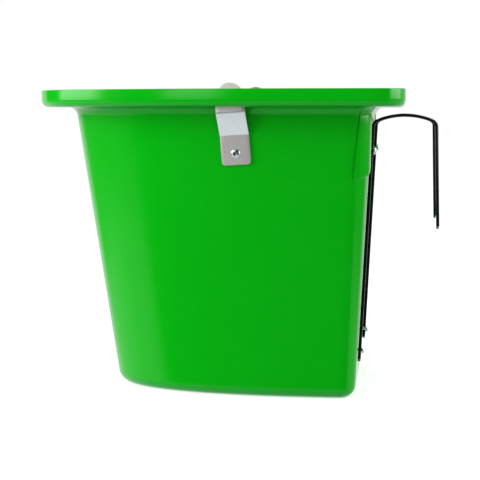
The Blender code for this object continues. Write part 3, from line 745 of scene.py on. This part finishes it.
for side, word in ((-1, "left"), (1, "right")):
    vs, fs = ear_mesh(side)
    ear = add(word + "_strap", vs, fs, M_STRAP, "bucket", (word + "_ear_strap",), 40.0)
    bm = bmesh.new()
    bm.from_mesh(ear.data)
    bmesh.ops.remove_doubles(bm, verts=bm.verts, dist=1e-6)
    bm.to_mesh(ear.data)
    bm.free()
    so = ear.modifiers.new("sheet", 'SOLIDIFY')
    so.thickness = EAR_T * MM
    so.offset = 1.0
    so.use_even_offset = True
    bake(ear)
    p0, t, vv, nn = ear_frame(side)
    c, pt_, pv_, pn_ = ear_pivot(side)
    cut_with(ear, join([cyl(axis_frame(p0 * MM, nn), 2.3, -2, 6), cyl(axis_frame(c * MM, pn_), 3.1, -4, 4)]))
    bevel(ear, 0.22, 3, 50.0)

    # blind rivet: dome with a turned rim, hole with the broken mandrel in it
    m = axis_frame(p0 * MM, nn)
    top = GAP + EAR_T + 0.05
    rin = -WALL_T - GAP - 1.0 - GAP
    dome = [(1.25, top + 1.15), (1.32, top + 1.5), (1.5, top + 1.62), (1.9, top + 1.6), (2.4, top + 1.47),
            (2.9, top + 1.22), (3.35, top + 0.9), (3.7, top + 0.55), (3.92, top + 0.25), (4.0, top + 0.08), (3.97, top)]
    prof = dome + [(2.0, top), (2.0, rin), (2.6, rin - 0.1), (3.05, rin - 0.6), (3.2, rin - 1.4),
                   (3.0, rin - 2.2), (2.5, rin - 2.8), (1.9, rin - 3.0), (1.25, rin - 3.0), dome[0]]
    vs, fs = turn(prof, m)
    add(word + "_rivet", vs, fs, M_RIVET, "bucket", (word + "_strap_rivet",), 40.0, True)
    vs, fs = turn([(0.0, top + 0.62), (0.55, top + 0.6), (0.85, top + 0.42), (1.0, top + 0.1), (1.0, rin - 3.2),
                   (1.9, rin - 3.25), (2.0, rin - 3.6), (1.95, rin - 4.6), (1.4, rin - 5.15), (0.7, rin - 5.3),
                   (0.0, rin - 5.3)], m, 48)
    add(word + "_mandrel", vs, fs, M_PIN, "bucket", (word + "_rivet_mandrel",), 40.0, True)
    z1, z0 = -WALL_T - 0.05, -WALL_T - 0.05 - 1.0
    vs, fs = turn([(2.35, z1), (4.85, z1), (5.0, z1 - 0.15), (5.0, z0 + 0.15), (4.85, z0), (2.35, z0), (2.35, z1)], m)
    add(word + "_backing_washer", vs, fs, M_ZINC, "bucket", (word + "_rivet_washer",), 30.0, True)

# ------------------------------------------------------------------ back wall frame
BACK_A = math.atan(BOWL_BACK_LEAN)
BACK_N = Vector((math.cos(BACK_A), 0.0, -math.sin(BACK_A)))
BACK_U = Vector((math.sin(BACK_A), 0.0, math.cos(BACK_A)))
BACK_O = Vector((BOWL_BACK_X0 * MM, 0.0, 0.0))


def back_pt(z, y, d):
    return BACK_O + BACK_U * (z / math.cos(BACK_A) * MM) + BACK_N * (d * MM) + Vector((0, y * MM, 0))


def back_frame(z, y):
    return frame_matrix(back_pt(z, y, 0.0), BACK_U.cross(BACK_N), BACK_U, BACK_N)


# ------------------------------------------------------------------ wires
def sweep(path, radius, seg=20, end_round=0.0, closed_ends=True):
    """round wire along a path of Vectors (m), parallel-transported frame"""
    n = len(path)
    tang = []
    for i in range(n):
        a = path[max(0, i - 1)]
        b = path[min(n - 1, i + 1)]
        tang.append((b - a).normalized())
    ref = Vector((0, 0, 1)) if abs(tang[0].z) < 0.9 else Vector((0, 1, 0))
    x = ref.cross(tang[0]).normalized()
    stations = []
    for i in range(n):
        if i:
            ax = tang[i - 1].cross(tang[i])
            if ax.length > 1e-9:
                x = Matrix.Rotation(tang[i - 1].angle(tang[i]), 3, ax.normalized()) @ x
        x = (x - tang[i] * x.dot(tang[i])).normalized()
        stations.append((path[i], tang[i], x.copy()))
    rows = []
    r = radius * MM
    e = end_round * MM
    def ring(p, t, xx, q):
        yy = t.cross(xx)
        return [p + (xx * math.cos(2 * math.pi * k / seg) + yy * math.sin(2 * math.pi * k / seg)) * q for k in range(seg)]
    if e > 0:
        p, t, xx = stations[0]
        rows.append(ring(p, t, xx, r - e))
        rows.append(ring(p + t * e * 0.3, t, xx, r - e * 0.3))
        stations[0] = (p + t * e, t, xx)
        p, t, xx = stations[-1]
        tail = [ring(p - t * e * 0.3, t, xx, r - e * 0.3), ring(p, t, xx, r - e)]
        stations[-1] = (p - t * e, t, xx)
    else:
        tail = []
    for p, t, xx in stations:
        rows.append(ring(p, t, xx, r))
    rows += tail
    vs = [v for q in rows for v in q]
    fs = []
    for i in range(len(rows) - 1):
        for k in range(seg):
            a, b = i * seg + k, i * seg + (k + 1) % seg
            fs.append((a, b, b + seg, a + seg))
    fs.append(tuple(reversed(range(seg))))
    fs.append(tuple(range((len(rows) - 1) * seg, len(rows) * seg)))
    return vs, fs


def resample(path, step):
    s = [0.0]
    for a, b in zip(path[:-1], path[1:]):
        s.append(s[-1] + (b - a).length)
    n = max(2, int(s[-1] / step))
    out, j = [], 0
    for k in range(n + 1):
        w = s[-1] * k / n
        while j < len(s) - 2 and s[j + 1] < w:
            j += 1
        f = (w - s[j]) / max(1e-12, s[j + 1] - s[j])
        out.append(path[j].lerp(path[j + 1], f))
    return out


def hook_leg_x(z):
    return BOWL_BACK_X0 + BOWL_BACK_LEAN * z + 1.8 / math.cos(BACK_A)


def hook_path(y):
    zc = 250.2 - 6.4
    ax, bx = hook_leg_x(zc), 183.7
    half = (bx - ax) / 2
    cx = (ax + bx) / 2
    rad = (half * half + 6.4 * 6.4) / 12.8
    cz = 250.2 - rad
    w = math.asin(half / rad)
    arc = [Vector((cx + rad * math.sin(-w + 2 * w * k / 40), y, cz + rad * math.cos(-w + 2 * w * k / 40))) for k in range(41)]
    foot = Vector((hook_leg_x(31.0), y, 31.0))
    tip = Vector((185.5, y, 150.0))
    first = fillet([foot, arc[0], arc[5]], [6.0], 14)
    last = fillet([arc[35], arc[40], tip], [6.0], 14)
    pts = first[:-1] + arc[5:36] + last[1:]
    return [p * MM for p in pts]


CUT = 2.0
for side, word in ((-1, "left"), (1, "right")):
    path = hook_path(side * 75.0)
    path[0] = path[0] + (path[1] - path[0]).normalized() * CUT * MM
    path[-1] = path[-1] + (path[-2] - path[-1]).normalized() * CUT * MM
    fine = []
    for a, b in zip(path[:-1], path[1:]):
        n = max(1, int((b - a).length / 0.012))
        fine += [a.lerp(b, k / n) for k in range(n)]
    fine.append(path[-1])
    vs, fs = sweep(fine, 1.47, 24, 0.12)
    add(word + "_hook", vs, fs, M_BLACK, "bucket", (word + "_hook_wire",), 40.0, True)
    full = hook_path(side * 75.0)
    for tag, a, b in (("foot", full[0], full[1]), ("tip", full[-1], full[-2])):
        d = (b - a).normalized()
        m = axis_frame(a, d)
        vs, fs = turn([(0.0, 0.0), (1.15, 0.0), (1.36, 0.14), (1.38, 0.3), (1.38, CUT + 0.1), (0.0, CUT + 0.1)], m, 32)
        add(word + "_hook_cut_" + tag, vs, fs, M_CUT, "bucket", (), 40.0, True)

# bail handle --------------------------------------------------------------
BAIL_XM, BAIL_XF = 118.0, -172.5
U0 = (BAIL_XM - PIVOT_X) / (BAIL_XM - BAIL_XF)
BAIL_K = 129.5 / (1 - U0 ** N_PLAN) ** (1 / N_PLAN)


def bail_curve(count):
    a = BAIL_XM - BAIL_XF
    t_end = math.acos(U0 ** (N_PLAN / 2))
    fine = [t_end * i / 4000.0 for i in range(4001)]
    pts = [(BAIL_XM - a * math.cos(t) ** (2 / N_PLAN), BAIL_K * math.sin(t) ** (2 / N_PLAN)) for t in fine]
    s = [0.0]
    for i in range(1, len(pts)):
        s.append(s[-1] + math.dist(pts[i], pts[i - 1]))
    out, j = [], 0
    for q in range(count + 1):
        want = s[-1] * q / count
        while j < len(s) - 1 and s[j] < want:
            j += 1
        out.append(pts[j])
    out[0] = (BAIL_XF, 0.0)
    return out


half = bail_curve(70)
arm = half[:-2]
tail = fillet([Vector((arm[-1][0], arm[-1][1], 0)), Vector((half[-1][0], half[-1][1], 0)),
               Vector((half[-1][0], 117.7, 0))], [4.2], 12)[1:]
right = [Vector((x, y, 0)) for x, y in arm] + tail
path = [Vector((p.x, -p.y, 0)) for p in reversed(right[1:])] + right
path = [Vector((p.x * MM, p.y * MM, PIVOT_Z * MM)) for p in path]
vs, fs = sweep(path, 2.5, 28, 0.5)
add("bail_handle_wire", vs, fs, M_WIRE, "handle", ("bail_wire",), 40.0, True)


def bail_x(y):
    u = (1 - (abs(y) / BAIL_K) ** N_PLAN) ** (1 / N_PLAN)
    return BAIL_XM - (BAIL_XM - BAIL_XF) * u


def grip_mesh():
    """hollow moulded grip: end collars, finger ribs, bore over the wire"""
    half_len, ri = 50.0, 2.62
    stations = []
    n = 150
    for i in range(n + 1):
        y = -half_len + 2 * half_len * i / n
        e = half_len - abs(y)
        r = 5.55
        if e < 4.0:
            r = 5.98 if e > 0.9 else 5.98 - 0.9 * (1 - e / 0.9) ** 2
            if e > 3.0:
                r = 5.98 - 0.43 * (e - 3.0)
        else:
            r = 5.55 + 0.28 * max(0.0, math.cos(2 * math.pi * (y / 7.0))) ** 3
        stations.append((y, r))
    pts = [Vector((bail_x(y) * MM, y * MM, PIVOT_Z * MM)) for y, r in stations]
    seg = 40
    vs, fs, rows = [], [], []
    def ring(i, r):
        a = pts[max(0, i - 1)]
        b = pts[min(n, i + 1)]
        t = (b - a).normalized()
        s = Vector((-t.y, t.x, 0)).normalized()
        u = Vector((0, 0, 1))
        return [pts[i] + (s * math.cos(2 * math.pi * k / seg) + u * math.sin(2 * math.pi * k / seg)) * (r * MM) for k in range(seg)]
    rows.append(ring(0, ri))
    for i, (y, r) in enumerate(stations):
        rows.append(ring(i, r))
    for i in range(n, 0, -10):
        rows.append(ring(i, ri))
    for r in rows:
        vs += r
    m = len(rows)
    for i in range(m):
        for k in range(seg):
            a, b = i * seg + k, i * seg + (k + 1) % seg
            c, d = ((i + 1) % m) * seg + (k + 1) % seg, ((i + 1) % m) * seg + k
            fs.append((a, b, c, d))
    return vs, fs


vs, fs = grip_mesh()
add("bail_grip", vs, fs, M_GRIP, "handle", ("handle_grip",), 40.0, True)

# ------------------------------------------------------------------ screws
for level, z, y, d in (("upper", 219.0, 71.5, 3.56), ("lower", 41.0, 71.5, 3.56)):
    for side, word in ((-1, "left"), (1, "right")):
        m = back_frame(z, side * y)
        tag = word + "_" + level
        top = d + 0.06
        hr, hh = 3.5, 2.38
        prof = [(0.0, top + hh), (0.8, top + hh - 0.01), (1.5, top + hh - 0.08), (2.15, top + hh - 0.28),
                (2.7, top + hh - 0.58), (3.1, top + hh - 0.98), (3.35, top + hh - 1.4), (3.48, top + 0.5),
                (3.5, top + 0.2), (3.42, top + 0.04), (3.35, top), (1.65, top)]
        # shank with rolled thread crests near its end
        zt = -WALL_T - 1.5
        prof.append((1.65, zt))
        k = 0
        zz = zt
        while zz > -8.1:
            prof += [(1.42, zz - 0.16), (1.42, zz - 0.26), (1.65, zz - 0.42), (1.65, zz - 0.52)]
            zz -= 0.6
            k += 1
        prof += [(1.4, -8.65), (1.1, -8.8), (0.0, -8.8)]
        vs, fs = turn(prof, m)
        ob = add(tag + "_pan_screw", vs, fs, M_ZINC, "bucket", (tag + "_screw",), 30.0, True)
        spin = 0.35 + 0.9 * (side + 1) + (0.5 if level == "lower" else 0.0)
        c, s = math.cos(spin), math.sin(spin)
        tools = []
        for w, l in ((0.4, 1.9), (1.9, 0.4)):
            v, f = boxd(m @ Matrix.Rotation(spin, 4, 'Z'), (-w, -l, top + 0.75), (w, l, top + hh + 1))
            tools.append((v, f))
        for dta in tools:
            cut_with(ob, dta)
        z1 = -WALL_T - 0.06
        z0 = z1 - 1.0
        vs, fs = turn([(1.95, z1), (4.85, z1), (5.0, z1 - 0.15), (5.0, z0 + 0.2), (4.8, z0), (1.95, z0), (1.95, z1)], m)
        add(tag + "_washer", vs, fs, M_ZINC, "bucket", (tag + "_inner_washer",), 30.0, True)
        zn = z0 - 0.06
        nh, af = 2.8, 6.0
        rr = af / math.sqrt(3)
        vs, fs = [], []
        seg = 48
        # hexagon with its corners turned down to a 30 degree chamfer
        levels = [(zn, 0.94), (zn - 0.28, 1.0), (zn - nh + 0.28, 1.0), (zn - nh, 0.94)]
        def hexr(a):
            q = (a + math.pi / 6) % (math.pi / 3) - math.pi / 6
            return af / 2 / math.cos(q)
        for zl, cap in levels:
            for k in range(seg):
                a = 2 * math.pi * k / seg
                r = min(hexr(a), rr * cap) if cap < 1 else hexr(a)
                vs.append(m @ Vector((r * math.cos(a) * MM, r * math.sin(a) * MM, zl * MM)))
        for zl in (zn - nh, zn):
            for k in range(seg):
                a = 2 * math.pi * k / seg
                vs.append(m @ Vector((1.7 * math.cos(a) * MM, 1.7 * math.sin(a) * MM, zl * MM)))
        rows = [list(range(i * seg, (i + 1) * seg)) for i in range(6)]
        for i in range(6):
            a, b = rows[i], rows[(i + 1) % 6]
            for k in range(seg):
                fs.append((a[k], b[k], b[(k + 1) % seg], a[(k + 1) % seg]))
        add(tag + "_hex_nut", vs, fs, M_ZINC, "bucket", (tag + "_nut",), 25.0, True)

# ------------------------------------------------------------------ stage
fl = bpy.data.meshes.new("floor")
fl.from_pydata([(-30, -12, 0), (30, -12, 0), (30, 60, 0), (-30, 60, 0)], [], [(0, 1, 2, 3)])
floor = bpy.data.objects.new("floor", fl)
bpy.context.scene.collection.objects.link(floor)
floor.location = (0, 0, -0.0004)
floor.visible_glossy = False
floor.visible_diffuse = False
fm, nt, p = new_mat("pale_floor")
p.inputs["Base Color"].default_value = (0.6, 0.6, 0.6, 1)
p.inputs["Roughness"].default_value = 0.9
p.inputs["Specular IOR Level"].default_value = 0.0
p.inputs["Emission Color"].default_value = (1, 1, 1, 1)
p.inputs["Emission Strength"].default_value = 0.58
fl.materials.append(fm)

# studio: even white tent for diffuse light; for glossy rays a left softbox, a
# slim card front left, a right panel, a dark front and a pale floor
GLOSS = 8.0
world = bpy.data.worlds.new("studio")
bpy.context.scene.world = world
world.use_nodes = True
wn = world.node_tree
wn.nodes.clear()


def wmath(op, a, b=None):
    n = wn.nodes.new("ShaderNodeMath")
    n.operation = op
    for sock, v in zip(n.inputs, (a, b)):
        if v is None:
            continue
        if isinstance(v, (int, float)):
            sock.default_value = v
        else:
            wn.links.new(v, sock)
    return n.outputs[0]


def wrange(v, a, b, c=0.0, d=1.0):
    n = wn.nodes.new("ShaderNodeMapRange")
    n.inputs["From Min"].default_value = a
    n.inputs["From Max"].default_value = b
    n.inputs["To Min"].default_value = c
    n.inputs["To Max"].default_value = d
    wn.links.new(v, n.inputs["Value"])
    return n.outputs["Result"]


def wramp(v, stops):
    """stops: (azimuth from the front, + to the left, radiance)"""
    r = wn.nodes.new("ShaderNodeValToRGB")
    el = r.color_ramp.elements
    while len(el) < len(stops):
        el.new(0.5)
    for e, (deg, c) in zip(el, stops):
        e.position = (deg + 180.0) / 360.0
        e.color = (c / GLOSS, c / GLOSS, c / GLOSS, 1)
    wn.links.new(v, r.inputs["Fac"])
    return r.outputs["Color"]


tc = wn.nodes.new("ShaderNodeTexCoord")
sep = wn.nodes.new("ShaderNodeSeparateXYZ")
wn.links.new(tc.outputs["Generated"], sep.inputs[0])
az = wmath('ARCTAN2', wmath('MULTIPLY', sep.outputs["X"], -1.0), wmath('MULTIPLY', sep.outputs["Y"], -1.0))
azf = wrange(az, -math.pi, math.pi)
upper = wramp(azf, [(-180, 0.9), (-118, 0.9), (-104, 6.2), (-66, 6.2), (-58, 0.02), (24.5, 0.02), (27, 2.9), (38, 2.9),
                    (41, 0.02), (63, 0.02), (72, 6.8), (98, 5.4), (104, 0.06), (127, 0.06), (134, 0.9), (180, 0.95)])
lower = wramp(azf, [(-180, 0.9), (-85, 0.9), (-66, 0.8), (-58, 0.02), (58, 0.02), (65, 0.95), (90, 1.05), (120, 0.95), (180, 1.0)])
dim = wramp(azf, [(-180, 0.95), (-140, 0.95), (-120, 0.2), (-66, 0.15), (-58, 0.02), (58, 0.02), (66, 0.2), (124, 0.2),
                  (138, 0.95), (180, 1.0)])
up_f = wrange(sep.outputs["Z"], -0.055, -0.015)
down_f = wrange(sep.outputs["Z"], -0.42, -0.72)


def wmix(f, a, b):
    n = wn.nodes.new("ShaderNodeMix")
    n.data_type = 'RGBA'
    wn.links.new(f, [q for q in n.inputs if q.name == "Factor" and q.type == 'VALUE'][0])
    for nm, v in (("A", a), ("B", b)):
        sock = [q for q in n.inputs if q.name == nm and q.type == 'RGBA'][0]
        if isinstance(v, tuple):
            sock.default_value = (v[0], v[1], v[2], 1)
        else:
            wn.links.new(v, sock)
    return [q for q in n.outputs if q.type == 'RGBA'][0]


sky = wmix(up_f, wmix(wrange(sep.outputs["Z"], -0.235, -0.19), lower, dim), upper)
env = wmix(down_f, sky, (0.74 / GLOSS, 0.90 / GLOSS, 1.0 / GLOSS))
out = wn.nodes.new("ShaderNodeOutputWorld")
lp = wn.nodes.new("ShaderNodeLightPath")
bg_cam = wn.nodes.new("ShaderNodeBackground")
bg_cam.inputs["Color"].default_value = (1, 1, 1, 1)
bg_cam.inputs["Strength"].default_value = 1.0
bg_gl = wn.nodes.new("ShaderNodeBackground")
wn.links.new(env, bg_gl.inputs["Color"])
bg_gl.inputs["Strength"].default_value = GLOSS
bg_df = wn.nodes.new("ShaderNodeBackground")
bg_df.inputs["Color"].default_value = (1, 1, 1, 1)
bg_df.inputs["Strength"].default_value = 0.76
world.cycles.sampling_method = 'NONE'
m1 = wn.nodes.new("ShaderNodeMixShader")
m2 = wn.nodes.new("ShaderNodeMixShader")
wn.links.new(lp.outputs["Is Glossy Ray"], m1.inputs[0])
wn.links.new(bg_df.outputs[0], m1.inputs[1])
wn.links.new(bg_gl.outputs[0], m1.inputs[2])
wn.links.new(lp.outputs["Is Camera Ray"], m2.inputs[0])
wn.links.new(m1.outputs[0], m2.inputs[1])
wn.links.new(bg_cam.outputs[0], m2.inputs[2])
wn.links.new(m2.outputs[0], out.inputs[0])


def area(name, loc, target, w, h, power):
    d = bpy.data.lights.new(name, 'AREA')
    d.shape = 'RECTANGLE'
    d.size = w
    d.size_y = h
    d.energy = power
    o = bpy.data.objects.new(name, d)
    bpy.context.scene.collection.objects.link(o)
    o.location = loc
    dirv = Vector(target) - Vector(loc)
    o.rotation_euler = dirv.to_track_quat('-Z', 'Y').to_euler()
    o.visible_camera = False
    o.visible_glossy = False
    return o


area("left_box", (-1.55, -0.6, 0.62), (0.0, -0.05, 0.2), 1.1, 1.0, 37.0)
area("right_box", (1.5, -0.5, 0.75), (0.1, 0.0, 0.2), 1.1, 1.0, 15.0)
area("front_top", (-0.3, -1.6, 1.9), (0.0, 0.0, 0.15), 1.4, 1.0, 10.0)

sc = bpy.context.scene
sc.view_settings.view_transform = 'Standard'
sc.view_settings.look = 'None'
sc.view_settings.exposure = 0.0
sc.view_settings.gamma = 1.0

# ------------------------------------------------------------------ camera
F = Vector((-0.10397, 0.99139, -0.0797)).normalized()
R = Vector((0.99455, 0.1043, 0.0)).normalized()
U = R.cross(F).normalized()
P0 = Vector((0.0019, 0.0, 0.1327))
cam = bpy.data.cameras.new("camera")
cam.sensor_width = 36.0
cam.lens = 119.25
cam.clip_start = 0.05
cam.clip_end = 50.0
cam_ob = bpy.data.objects.new("camera", cam)
sc.collection.objects.link(cam_ob)
cam_ob.matrix_world = frame_matrix(P0 - F * 1.5, R, U, -F)
sc.camera = cam_ob
